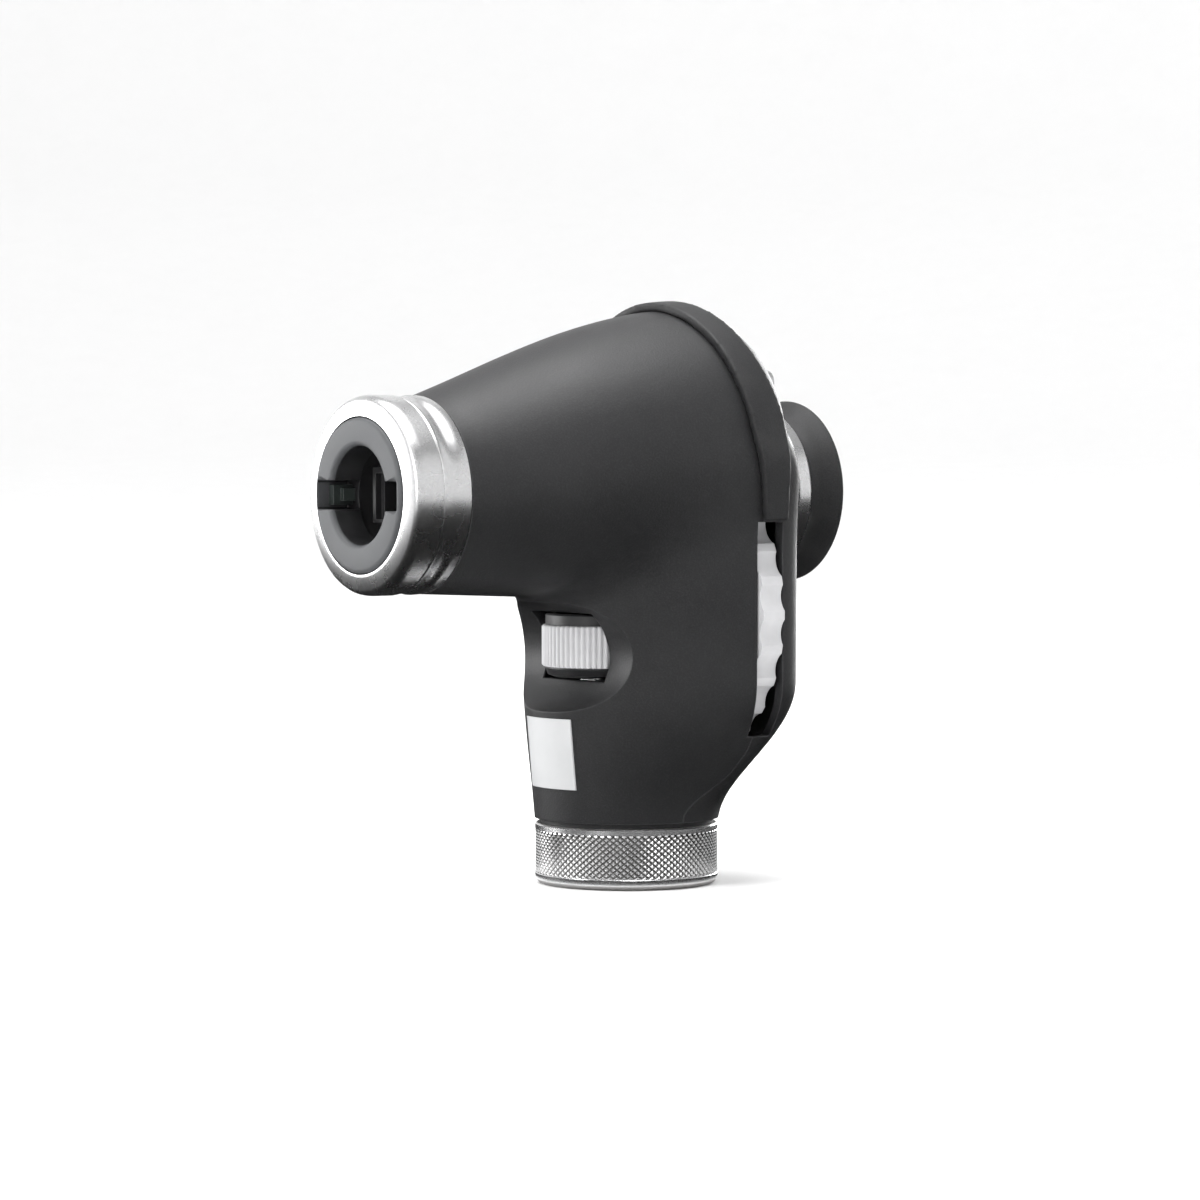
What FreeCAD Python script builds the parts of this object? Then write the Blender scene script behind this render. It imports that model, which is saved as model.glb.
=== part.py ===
import FreeCAD, Part
import math
import os
from FreeCAD import Vector

# Ophthalmoscope head, millimetres.  +Z is up, the patient side faces -X, the examiner's eye is at +X.
# The origin is the centre of the handle socket's mouth, on the bottom face of the knurled base ring.

# ---- driving dimensions of the outer form ----
WALL = 1.8                      # moulded shell wall
NECK_RADIUS = 15.3              # round foot of the neck, above the base ring
NECK_BOTTOM_Z = 10.9            # lower edge of both shells
NECK_LEAN = 0.094               # forward lean of the neck's front, mm per mm of height
SHOULDER_START_Z = 10.0         # the neck starts to widen here
SHOULDER_END_Z = 34.0           # and has its full width here
HALF_WIDTH = 24.1               # half of the body's widest section
WIDEST_X = 8.6                  # where that section lies
FRONT_TAPER = 0.17              # how much slimmer than an ellipse the front of the section is
REAR_X = 20.8                   # rear face of the rear cover
AXIS_Z = 64.8                   # viewing axis; all that belongs to it is stated from it
COLUMN_TOP_Z = AXIS_Z + 5.2     # the column ends inside the round crown
MOUTH_X = -42.0                 # front edge of the front shell
MOUTH_RADIUS = 15.9            # shell radius at the front edge
CROWN_X = 14.0                  # highest point of the crown
CROWN_RISE = 14.7               # crown above the top of the mouth
NOSE_DROOP = 0.045              # underside of the nose falls this much per mm towards the neck
NOSE_BLEND = 3.5                # rounding between nose and column
CROWN_REAR_ROUND = 14.0          # rounding of the crown's rear edge

LABEL_Z = (16.4, 28.0)
LABEL_THICK = 0.25

# ---- base ----
RING_RADIUS = 15.2
RING_HEIGHT = 10.1
SOCKET_BORE = 11.3              # the battery handle's neck enters this bore
SOCKET_OUTER = 13.0
SOCKET_MOUTH_Z = 0.3
SOCKET_FLOOR_Z = 9.0
SOCKET_TOP_Z = 13.0
SOCKET_BORE_TOP_Z = 6.7         # the bore is wider above this, behind the bayonet lugs
SOCKET_RELIEF = 0.6
SOCKET_RECESS = SOCKET_BORE - 0.4
LUG_Z = 7.0
LUG_HEIGHT = 1.5
LUG_REACH = 1.3
FLOOR_THICK = 1.5
PIN_RADIUS = 1.6
PIN_TIP_Z = 7.2
PIN_COLLAR_Z = 9.9
PIN_COLLAR_RADIUS = 2.7
CHAMBER_RADIUS = 3.0
CHAMBER_TOP_Z = 14.6
INSULATOR_FLANGE = CHAMBER_RADIUS + 3.0
SOCKET_SCREW_CIRCLE = (INSULATOR_FLANGE + SOCKET_RECESS) / 2
SPRING_WIRE = 0.5               # square wire
SPRING_TURNS = 3.5
SPRING_RADIUS = 2.2
SLIDE_CLEARANCE = 0.08          # radial clearance of sliding and turning fits
GAP = 0.3                       # clearance between pieces that don't touch

# ---- nose ----
NOSE_RING_FRONT_X = -52.9
NOSE_RING_RADIUS = 16.0
NOSE_RING_BORE = 12.6
INSERT_FRONT_X = -53.4
INSERT_BACK_X = -44.4
INSERT_BORE = 7.9               # patient eyecup plugs in here
INSERT_BORE_END_X = -47.6       # and stops here; the bore is a little wider behind
SLOT_HEIGHT = 4.7
SLOT_REACH = 11.5
SLOT_DEPTH = 5.9

# ---- aperture dial ----
DIAL_RADIUS = 9.6
DIAL_X = 4.1 - DIAL_RADIUS       # the stops' circle passes through the beam
DIAL_RIBS = 60
DIAL_BAND_Z = (AXIS_Z - 28.6, AXIS_Z - 21.7)
DIAL_CORE_RADIUS = DIAL_RADIUS - 0.6
DIAL_CORE_Z = (AXIS_Z - 30.3, AXIS_Z - 19.8)
DIAL_AXLE_RADIUS = 1.2
APERTURES = 6
APERTURE_CIRCLE = -DIAL_X
DISC_Z = (DIAL_CORE_Z[0] + 2.5, DIAL_CORE_Z[0] + 3.9)
BEAM_RADIUS = 1.9
SCOOP_RADIUS = 9.2
SCOOP_FLOOR_X = -10.0
SCOOP_Z = AXIS_Z - 26.8
WINDOW_HALF_WIDTH = 8.6
WINDOW_Z = (AXIS_Z - 30.8, AXIS_Z - 19.5)

# ---- focus wheel and drive ----
WHEEL_Z = AXIS_Z - 19.8
WHEEL_SLOT_Z = (WHEEL_Z - 20.0, WHEEL_Z + 15.2)
WHEEL_PROUD = 1.3               # the rim stands this far out of the side slots
WHEEL_RADIUS = HALF_WIDTH + WHEEL_PROUD
WHEEL_SCALLOPS = 28
WHEEL_FRONT_X = 9.0
WHEEL_THICK = 4.3
WHEEL_RIM = 1.9
WHEEL_TURN = 100.0              # each way, in degrees
WHEEL_AXLE_RADIUS = 2.0
GEAR_MODULE = 0.8
WHEEL_TEETH = 24
PINION_TEETH = 12
GEAR_THICK = 1.8
SCREW_Y = 9.0
SCREW_RADIUS = 2.2
SCREW_JOURNAL = 1.4
FRONT_PLATE_X = -17.0
REAR_PLATE_X = 4.2
PLATE_THICK = 1.8
GEAR_X = REAR_PLATE_X + PLATE_THICK + 0.5
AXLE_BOSS_X = 15.2
CARRIAGE_FRONT_X = -9.0
CARRIAGE_LENGTH = 8.0
CARRIAGE_RADIUS = 7.4
ROD_RADIUS = 1.0
RODS_YZ = ((-11.5, AXIS_Z + 1.2), (11.5, AXIS_Z + 7.2))

# ---- eyepiece ----
EYE_TUBE_RADIUS = 11.4
EYE_COLLAR_RADIUS = 13.3
EYE_RING_RADIUS = 13.9
EYE_RING_X = (25.6, 29.1)
EYECUP_RIM_RADIUS = 15.3
EYECUP_RIM_X = 34.3

# ---- brow rest ----
BROW_THICK = 1.5
BROW_FRONT_TOP_X = 4.6
BROW_FRONT_SLOPE = 0.14
BROW_REAR_TOP_X = 9.4
BROW_REAR_X = 14.0
BROW_KNEE_Z = AXIS_Z + 12.2
BROW_BOTTOM_Z = AXIS_Z - 4.4
BROW_APEX_Z = AXIS_Z + 30.2

# ---- viewing optics and beam path ----
BARREL_BORE = 8.8
BARREL_WALL = 1.2
BARREL_FRONT_X = INSERT_BACK_X + 1.3
BEAM_Z = AXIS_Z - 12.2          # height of the light guide
PRISM_X = -34.6
PRISM_SIZE = 3.0
LENS_RADIUS = 6.2               # focusing lens
BRIDGE_Z = (DIAL_CORE_Z[1] + 1.0, DIAL_CORE_Z[1] + 2.6)
POSTS_YZ = ((-10.0, AXIS_Z + 15.2), (10.0, AXIS_Z + 15.2), (-15.0, AXIS_Z - 4.8), (15.0, AXIS_Z - 1.3))

# ---- lamp ----
LAMP_ARM_Z = DIAL_CORE_Z[0] - 0.5
LAMP_BLOCK_Z = (CHAMBER_TOP_Z + 0.05, 26.5)
LAMP_BLOCK_RADIUS = 8.0
CONDENSER_RADIUS = 3.1
CONDENSER_Z = (27.4, DIAL_CORE_Z[0] - 0.3)

# ---- fasteners ----
SCREW_SHANK = 1.1
SCREW_HEAD = 2.1
SCREW_SINK = 0.9
COVER_SCREWS_YZ = ((-12.0, AXIS_Z + 18.2), (12.0, AXIS_Z + 18.2))

ALONG_X = Vector(1, 0, 0)
ALONG_Y = Vector(0, 1, 0)
UP = Vector(0, 0, 1)


# ---------------------------------------------------------------- small helpers
def ease(low, high, value):
    """0 below low, 1 above high, a smooth rise between."""
    share = min(max((value - low) / (high - low), 0.0), 1.0)
    return (1 - math.cos(math.pi * share)) / 2


def soft_min(a, b, width):
    overlap = max(width - abs(a - b), 0.0)
    return min(a, b) - overlap * overlap / (4 * width)


def soft_max(a, b, width):
    return -soft_min(-a, -b, width)


def rod(radius, x0, x1, y=0.0, z=AXIS_Z):
    """A cylinder along X."""
    return Part.makeCylinder(radius, x1 - x0, Vector(x0, y, z), ALONG_X)


def post(radius, z0, z1, x=0.0, y=0.0):
    """A cylinder along Z."""
    return Part.makeCylinder(radius, z1 - z0, Vector(x, y, z0), UP)


def bar(x, y, z):
    """A box from three (low, high) pairs."""
    return Part.makeBox(x[1] - x[0], y[1] - y[0], z[1] - z[0], Vector(x[0], y[0], z[0]))


def turned_on_x(profile, y=0.0, z=AXIS_Z):
    """Revolves (x, radius) points about an axis along X."""
    points = [Vector(x, y, z + radius) for x, radius in profile]
    face = Part.Face(Part.makePolygon(points + points[:1]))
    return face.revolve(Vector(0, y, z), ALONG_X, 360)


def turned_on_z(profile, x=0.0, y=0.0):
    """Revolves (radius, z) points about a vertical axis."""
    points = [Vector(x + radius, y, z) for radius, z in profile]
    face = Part.Face(Part.makePolygon(points + points[:1]))
    return face.revolve(Vector(x, y, 0), UP, 360)


def group(shapes):
    return Part.makeCompound(shapes)


def lens(x_middle, radius, edge, bulge_front, bulge_back, z=AXIS_Z):
    """A round lens on an axis along X, each bulge a spherical cap."""
    x0, x1 = x_middle - edge / 2, x_middle + edge / 2
    rim = [Vector(x0, 0, z + radius), Vector(x1, 0, z + radius)]
    poles = [Vector(x0 - bulge_front, 0, z), Vector(x1 + bulge_back, 0, z)]
    edges = [Part.makeLine(rim[0], rim[1]), Part.makeLine(poles[1], poles[0])]
    for corner, pole, side, bulge in ((rim[0], poles[0], -1, bulge_front), (rim[1], poles[1], 1, bulge_back)):
        if bulge > 0:
            sphere_radius = (radius ** 2 + bulge ** 2) / (2 * bulge)
            lift = math.sqrt(sphere_radius ** 2 - (radius / 2) ** 2) - (sphere_radius - bulge)
            middle = Vector(corner.x + side * lift, 0, z + radius / 2)
            edges.append(Part.Arc(corner, middle, pole).toShape())
        else:
            edges.append(Part.makeLine(corner, pole))
    face = Part.Face(Part.Wire(Part.__sortEdges__(edges)))
    return face.revolve(Vector(0, 0, z), ALONG_X, 360)


# ---------------------------------------------------------------- the outer form
def nose_distance(x, y, z):
    """Signed distance, roughly, to the round nose that grows into the crown."""
    share = min(max((x - MOUTH_X) / (CROWN_X - MOUTH_X), 0.0), 1.0)
    top = AXIS_Z + MOUTH_RADIUS + CROWN_RISE * math.sin(math.pi / 2 * share ** 1.1)
    bottom = AXIS_Z - MOUTH_RADIUS - NOSE_DROOP * (x - MOUTH_X)
    round_part = math.hypot(y, z - (top + bottom) / 2) - (top - bottom) / 2
    return soft_max(round_part, x - REAR_X, CROWN_REAR_ROUND)


def column_distance(x, y, z):
    """Signed distance, roughly, to the upright body: a round foot that widens to an egg."""
    grown = ease(SHOULDER_START_Z, SHOULDER_END_Z, z)
    half_width = NECK_RADIUS + (HALF_WIDTH - NECK_RADIUS) * grown
    widest = WIDEST_X * grown
    front = -NECK_RADIUS - NECK_LEAN * (min(z, COLUMN_TOP_Z) - NECK_BOTTOM_Z)
    rear = NECK_RADIUS + (REAR_X - NECK_RADIUS) * grown
    if x < widest:
        along = (widest - x) / (widest - front)
        side = half_width * (1 - FRONT_TAPER * grown * along)
        ratio = math.hypot(along, y / side)
    else:
        power = 2 + 3 * grown
        along = (x - widest) / (rear - widest)
        ratio = (along ** power + (abs(y) / half_width) ** power) ** (1 / power)
    return soft_max((ratio - 1) * half_width, z - COLUMN_TOP_Z, 2.0)


def form_distance(x, y, z):
    return soft_min(nose_distance(x, y, z), column_distance(x, y, z), NOSE_BLEND)


def crossing(origin, direction, start, step, offset):
    """Distance along a ray, from a start inside the form, to its surface moved out by offset."""
    def level(distance):
        point = origin + direction * distance
        return form_distance(point.x, point.y, point.z) - offset

    low = start
    high = start + step
    while level(high) < 0:
        low = high
        high += step
    for _ in range(30):
        middle = (low + high) / 2
        if level(middle) < 0:
            low = middle
        else:
            high = middle
    return (low + high) / 2


def section_planes():
    """Planes that sweep up the neck, fan round the inner corner and go out along the nose.

    Each is a point inside the form and the plane's own direction in the side view.  The first and
    last lie beyond the form's ends, which are trimmed flat afterwards."""
    pivot = Vector(-24.0, 0, 42.0)
    reach = 24.0
    heights = [NECK_BOTTOM_Z + 3.5 * step for step in range(-2, 9)]
    planes = [(Vector(0, 0, z), ALONG_X) for z in heights]
    for degrees in (0, 7, 14, 21, 28, 34, 39, 43, 47, 51, 55, 60, 66, 73, 81, 90):
        angle = math.radians(degrees)
        direction = Vector(math.cos(angle), 0, math.sin(angle))
        planes.append((pivot + direction * reach, direction))
    length = pivot.x - MOUTH_X
    planes += [(Vector(pivot.x - length * step / 5, 0, AXIS_Z), UP) for step in range(1, 8)]
    return planes


def form_solid(offset, reach=0.0, points=36):
    """The whole outer form as one solid, moved out by offset and lengthened by reach at both ends."""
    rings = []
    for inside, direction in section_planes():
        outer = crossing(inside, direction, 0.0, 1.0, offset)
        inner = crossing(inside, direction * -1, 0.0, 1.0, offset)
        centre = inside + direction * ((outer - inner) / 2)
        ring = []
        for index in range(points):
            angle = 2 * math.pi * index / points
            ray = direction * math.cos(angle) + ALONG_Y * math.sin(angle)
            ring.append(centre + ray * crossing(centre, ray, 0.0, 1.0, offset))
        rings.append(ring + ring[:1])
    surface = Part.BSplineSurface()
    surface.interpolate(rings)
    first, last = surface.bounds()[:2]
    ends = [Part.Face(Part.Wire(surface.uIso(end).toShape())) for end in (first, last)]
    solid = Part.makeSolid(Part.makeShell([surface.toShape()] + ends))
    return solid.common(bar((MOUTH_X - reach, 60), (-60, 60), (NECK_BOTTOM_Z - reach, 160)))


def seam_region(shift, rear):
    """Everything ahead of the parting line between the two shells, or behind it."""
    curve = Part.BSplineCurve()
    knee = [(0.2, 12.2), (2.0, 14.2), (5.2, 16.4), (8.2, 19.0), (9.6, 22.0), (9.9, 25.0)]
    curve.interpolate([Vector(x + shift, 0, z) for x, z in knee])
    start = Vector(knee[0][0] + shift, 0, 5.0)
    end = Vector(knee[-1][0] + shift, 0, 110.0)
    far_x = 40.0 if rear else -70.0
    corners = [end, Vector(far_x, 0, 110.0), Vector(far_x, 0, 5.0), start]
    edges = [Part.makeLine(start, Vector(knee[0][0] + shift, 0, knee[0][1])), curve.toShape(),
             Part.makeLine(Vector(knee[-1][0] + shift, 0, knee[-1][1]), end)]
    edges += [Part.makeLine(corners[i], corners[i + 1]) for i in range(3)]
    face = Part.Face(Part.Wire(Part.__sortEdges__(edges)))
    face.translate(Vector(0, -40, 0))
    return face.extrude(Vector(0, 80, 0))


# ---------------------------------------------------------------- shells and outer pieces
def scoop_cylinder(extra):
    """The finger scoop below the nose is a sideways cylinder; extra grows its radius."""
    centre_x = SCOOP_FLOOR_X - SCOOP_RADIUS
    return Part.makeCylinder(SCOOP_RADIUS + extra, 80, Vector(centre_x, -40, SCOOP_Z), ALONG_Y)


def wheel_slots():
    """Side slots through which the focus wheel's rim stands out, and room for the rim inside."""
    x = (WHEEL_FRONT_X - GAP, WHEEL_FRONT_X + WHEEL_THICK + 2 * GAP)
    near, far = HALF_WIDTH - 9.1, HALF_WIDTH + 20
    slots = [bar(x, (near, far), WHEEL_SLOT_Z), bar(x, (-far, -near), WHEEL_SLOT_Z)]
    return slots + [rod(WHEEL_RADIUS + GAP, x[0], x[1], 0, WHEEL_Z)]


def front_shell(outer, hollow):
    floor = outer.common(scoop_cylinder(WALL)).cut(scoop_cylinder(0))
    floor = floor.cut(bar((-60, -19.4), (-40, 40), (0, 100)))
    shell = outer.cut(hollow).cut(scoop_cylinder(0)).fuse(floor)
    window = bar((-30, DIAL_X - 2), (-WINDOW_HALF_WIDTH, WINDOW_HALF_WIDTH), WINDOW_Z)
    dial_room = post(DIAL_RADIUS + GAP, WINDOW_Z[0], WINDOW_Z[1], DIAL_X)
    for cutter in [window, dial_room] + wheel_slots():
        shell = shell.cut(cutter)
    return shell.common(seam_region(-0.05, False))


def rear_cover(outer, hollow):
    shell = outer.cut(hollow)
    boss = rod(WHEEL_AXLE_RADIUS + 2, AXLE_BOSS_X, REAR_X - WALL / 2, 0, WHEEL_Z)
    shell = shell.fuse(boss)
    cutters = [rod(WHEEL_AXLE_RADIUS + 0.01, 0, AXLE_BOSS_X + 2.4, 0, WHEEL_Z)]
    cutters.append(rod(EYE_TUBE_RADIUS + 0.05, 0, 40))
    for y, z in COVER_SCREWS_YZ:
        cutters.append(rod(SCREW_SHANK + 0.2, 0, 40, y, z))
        cutters.append(rod(SCREW_HEAD + 0.25, screw_seat_x(y, z), 40, y, z))
    for cutter in cutters + wheel_slots():
        shell = shell.cut(cutter)
    return shell.common(seam_region(0.05, True))


def rear_surface_x(y, z, offset):
    """Where a line along X leaves the form, moved out by offset."""
    return WIDEST_X + crossing(Vector(WIDEST_X, y, z), ALONG_X, 0.0, 1.0, offset)


def screw_seat_x(y, z):
    """The plane on which a cover screw's head sits, below the rear surface."""
    return rear_surface_x(y, z, 0.0) - SCREW_SINK


def brow_rest(outer):
    band = form_solid(BROW_THICK).cut(outer)
    slope = BROW_FRONT_SLOPE
    top, bottom = 110.0, BROW_BOTTOM_Z
    top_x = BROW_FRONT_TOP_X - slope * (top - BROW_APEX_Z)
    bottom_x = BROW_FRONT_TOP_X + slope * (BROW_APEX_Z - bottom)
    corners = [(top_x, top), (BROW_REAR_TOP_X, top), (BROW_REAR_TOP_X, BROW_APEX_Z + 2), (BROW_REAR_X, BROW_KNEE_Z),
               (BROW_REAR_X, bottom), (bottom_x, bottom)]
    points = [Vector(x, -40, z) for x, z in corners]
    prism = Part.Face(Part.makePolygon(points + points[:1])).extrude(Vector(0, 80, 0))
    return band.common(prism)


def nose_ring():
    x, r = NOSE_RING_FRONT_X, NOSE_RING_RADIUS
    step = 0.45
    profile = [(x, NOSE_RING_BORE), (x, r - 1.2), (x + 0.9, r), (x + 5.0, r), (x + 5.0, r - step),
               (x + 5.6, r - step), (x + 5.6, r), (x + 9.4, r), (x + 9.4, r - step), (x + 10.0, r - step),
               (x + 10.0, MOUTH_RADIUS), (MOUTH_X, MOUTH_RADIUS), (MOUTH_X, MOUTH_RADIUS - WALL - 0.15),
               (MOUTH_X + 4.5, MOUTH_RADIUS - WALL - 0.15), (MOUTH_X + 4.5, NOSE_RING_BORE)]
    return turned_on_x(profile)


def nose_insert():
    outer = NOSE_RING_BORE - 0.1
    lip = 0.8
    profile = [(INSERT_FRONT_X + lip, INSERT_BORE), (INSERT_FRONT_X, INSERT_BORE + lip),
               (INSERT_FRONT_X, outer - lip), (INSERT_FRONT_X + lip, outer),
               (INSERT_BACK_X, outer), (INSERT_BACK_X, INSERT_BORE + 0.5),
               (INSERT_BORE_END_X, INSERT_BORE + 0.5), (INSERT_BORE_END_X, INSERT_BORE)]
    insert = turned_on_x(profile)
    slot_z = (AXIS_Z - SLOT_HEIGHT / 2, AXIS_Z + SLOT_HEIGHT / 2)
    slot = bar((INSERT_FRONT_X - 1, INSERT_FRONT_X + SLOT_DEPTH), (-SLOT_REACH, SLOT_REACH), slot_z)
    return insert.cut(slot)


def baffle_plate():
    """Dark plate behind the insert with a stepped rectangular window frame."""
    back = INSERT_BACK_X + 1.2
    plate = rod(NOSE_RING_BORE - 0.1, INSERT_BACK_X + 0.02, back)
    frame = bar((INSERT_BACK_X - 3.0, INSERT_BACK_X + 0.02), (-4.4, 4.4), (AXIS_Z - 4.4, AXIS_Z + 4.4))
    hole = bar((INSERT_BACK_X - 4, back + 1), (-2.8, 2.8), (AXIS_Z - 3.4, AXIS_Z + 2.6))
    step = bar((INSERT_BACK_X - 4, INSERT_BACK_X - 1.8), (-3.6, 3.6), (AXIS_Z - 3.9, AXIS_Z + 3.5))
    return plate.fuse(frame).cut(hole).cut(step)


def slot_catches():
    """Small sprung tabs at the ends of the insert's slots that hold a patient eyecup."""
    x = INSERT_FRONT_X + 2.2
    tabs = []
    for side in (-1, 1):
        y = sorted((side * (SLOT_REACH - 1.4), side * (SLOT_REACH - 0.05)))
        base = bar((x, INSERT_FRONT_X + SLOT_DEPTH - 0.05), y, (AXIS_Z - 1.6, AXIS_Z + 1.6))
        y = sorted((side * (SLOT_REACH - 2.2), side * (SLOT_REACH - 1.4)))
        tabs.append(base.fuse(bar((x + 1.4, INSERT_FRONT_X + SLOT_DEPTH - 0.05), y, (AXIS_Z - 1, AXIS_Z + 1))))
    return group(tabs)


def label_plate():
    """Blank rating label let into the front of the neck."""
    region = bar((-30, 0), (-6.0, 6.0), LABEL_Z)
    skin = form_solid(LABEL_THICK).cut(form_solid(0.02))
    return skin.common(region)


# ---------------------------------------------------------------- viewing optics
def optics_barrel():
    outer = BARREL_BORE + BARREL_WALL
    barrel = rod(outer, BARREL_FRONT_X, FRONT_PLATE_X)
    flange = rod(NOSE_RING_BORE - 0.1, BARREL_FRONT_X, BARREL_FRONT_X + 1.5)
    seat = rod(BARREL_BORE - 1.3, BARREL_FRONT_X - 1, FRONT_PLATE_X + 1)
    lens_room = rod(BARREL_BORE, BARREL_FRONT_X - 1, BARREL_FRONT_X + 6.5)
    light_port = post(1.6, AXIS_Z - outer - 1, AXIS_Z - BARREL_BORE + 2.0, PRISM_X)
    return barrel.fuse(flange).cut(seat).cut(lens_room).cut(light_port)


def objective_lens():
    return lens(BARREL_FRONT_X + 3.6, BARREL_BORE - 0.02, 2.0, 0.9, 0.9)


def objective_ring():
    x0 = BARREL_FRONT_X + 0.4
    ring = rod(BARREL_BORE - 0.02, x0, x0 + 1.8)
    return ring.cut(rod(BARREL_BORE - 1.6, x0 - 1, x0 + 3))


def light_guide():
    """Clear rod that carries the lamp's beam forward below the barrel."""
    return rod(BEAM_RADIUS - 0.2, PRISM_X + PRISM_SIZE / 2 + 0.05, -3.4, 0, BEAM_Z)


def guide_prism():
    """Right-angle prism that turns the beam up into the barrel."""
    half = PRISM_SIZE / 2
    points = [Vector(PRISM_X + dx, -half, BEAM_Z + dz) for dx, dz in ((half, -half), (half, half), (-half, half))]
    prism = Part.Face(Part.makePolygon(points + points[:1])).extrude(Vector(0, PRISM_SIZE, 0))
    return prism


def beam_mirror():
    """Small mirror that turns the rising beam forward into the light guide."""
    plate = Part.makeBox(0.8, 4.6, 6.0, Vector(-0.4, -2.3, -3.0))
    plate.rotate(Vector(0, 0, 0), ALONG_Y, 45)
    plate.translate(Vector(0, 0, BEAM_Z))
    return plate


def mirror_block():
    """Wedge that carries the mirror on top of the dial bridge."""
    z0, z1 = BRIDGE_Z[1], BEAM_Z + 2.6
    x1 = REAR_PLATE_X - 0.02
    points = [Vector(x1, -3, z0), Vector(x1, -3, z1), Vector(3.17, -3, z1), Vector(3.17 - (z1 - z0), -3, z0)]
    block = Part.Face(Part.makePolygon(points + points[:1])).extrude(Vector(0, 6, 0))
    block = block.cut(post(BEAM_RADIUS + 0.5, z0 - 1, BEAM_Z, 0))
    return block.cut(bar((-10, 1.2), (-4, 4), (z0 - 1, BEAM_Z - 1.5)))


# ---------------------------------------------------------------- internal frame
def plate_blank(x0, low_z, high_z):
    """A slice of the form's inside, so that the plate seats against the shell all round."""
    slab = bar((x0, x0 + PLATE_THICK), (-40, 40), (low_z, high_z))
    return form_solid(-WALL - 0.12).common(slab)


def plate_bores():
    """Screw bearing and rod seats, shared by both bulkheads."""
    bores = [rod(SCREW_JOURNAL + SLIDE_CLEARANCE, -30, 30, SCREW_Y, screw_z())]
    bores += [rod(ROD_RADIUS + 0.01, -30, 30, y, z) for y, z in RODS_YZ]
    return bores


def front_bulkhead():
    plate = plate_blank(FRONT_PLATE_X, SCOOP_Z + SCOOP_RADIUS + WALL + 0.6, 110)
    cutters = [rod(BARREL_BORE - 1.3, -30, 0), rod(BEAM_RADIUS + 0.1, -30, 0, 0, BEAM_Z)]
    for cutter in cutters + plate_bores():
        plate = plate.cut(cutter)
    return plate


def rear_bulkhead():
    plate = plate_blank(REAR_PLATE_X, WHEEL_Z - 7.0, AXIS_Z + 22.2)
    cutters = [rod(5.0, 0, 20), rod(WHEEL_AXLE_RADIUS + 0.01, 0, 20, 0, WHEEL_Z)]
    for cutter in cutters + plate_bores():
        plate = plate.cut(cutter)
    return plate


def bulkhead_posts():
    """Spacer posts between the two bulkheads."""
    x0, x1 = FRONT_PLATE_X + PLATE_THICK + 0.01, REAR_PLATE_X - 0.01
    return group([rod(1.6, x0, x1, y, z) for y, z in POSTS_YZ])


def guide_rods():
    x0, x1 = FRONT_PLATE_X + 0.2, REAR_PLATE_X + PLATE_THICK - 0.2
    return group([rod(ROD_RADIUS, x0, x1, y, z) for y, z in RODS_YZ])


# ---------------------------------------------------------------- focus drive
def gear_centres():
    return GEAR_MODULE * (WHEEL_TEETH + PINION_TEETH) / 2


def screw_z():
    return WHEEL_Z + math.sqrt(gear_centres() ** 2 - SCREW_Y ** 2)


def gear(teeth, first_angle, x0, y, z):
    """A spur gear on an axis along X, with one tooth pointing at first_angle in the YZ plane."""
    pressure = math.radians(20)
    backlash = 0.16
    pitch = GEAR_MODULE * teeth / 2
    base = pitch * math.cos(pressure)
    tip = pitch + 0.85 * GEAR_MODULE
    root = pitch - 1.2 * GEAR_MODULE

    def unrolled(radius):
        angle = math.acos(min(base / radius, 1.0))
        return math.tan(angle) - angle

    half = (math.pi * GEAR_MODULE / 2 - backlash) / (2 * pitch) + unrolled(pitch)
    start = max(base, root)
    flank = [start + (tip - start) * step / 4 for step in range(5)]
    points = []
    for tooth in range(teeth):
        centre = first_angle + 2 * math.pi * tooth / teeth
        side = [(root, half)] + [(radius, half - unrolled(radius)) for radius in flank]
        outline = [(radius, -angle) for radius, angle in side] + side[::-1]
        for radius, angle in outline:
            turn = centre + angle
            points.append(Vector(x0, y + radius * math.cos(turn), z + radius * math.sin(turn)))
    face = Part.Face(Part.makePolygon(points + points[:1]))
    return face.extrude(Vector(GEAR_THICK, 0, 0))


def mesh_angle():
    """Direction from the wheel's axis to the screw's axis."""
    return math.atan2(screw_z() - WHEEL_Z, SCREW_Y)


def wheel_gear():
    teeth = gear(WHEEL_TEETH, mesh_angle(), GEAR_X, 0, WHEEL_Z)
    return teeth.cut(rod(WHEEL_AXLE_RADIUS + SLIDE_CLEARANCE, 0, 20, 0, WHEEL_Z))


def screw_pinion():
    half_tooth = math.pi / PINION_TEETH
    teeth = gear(PINION_TEETH, mesh_angle() + math.pi + half_tooth, GEAR_X, SCREW_Y, screw_z())
    return teeth.cut(rod(SCREW_JOURNAL + 0.005, 0, 20, SCREW_Y, screw_z()))


def focus_screw():
    x0 = FRONT_PLATE_X + 0.2
    x1 = GEAR_X + GEAR_THICK
    journal = rod(SCREW_JOURNAL, x0, x1, SCREW_Y, screw_z())
    thread = rod(SCREW_RADIUS, FRONT_PLATE_X + PLATE_THICK + GAP, REAR_PLATE_X - GAP, SCREW_Y, screw_z())
    return journal.fuse(thread).removeSplitter()


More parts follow.
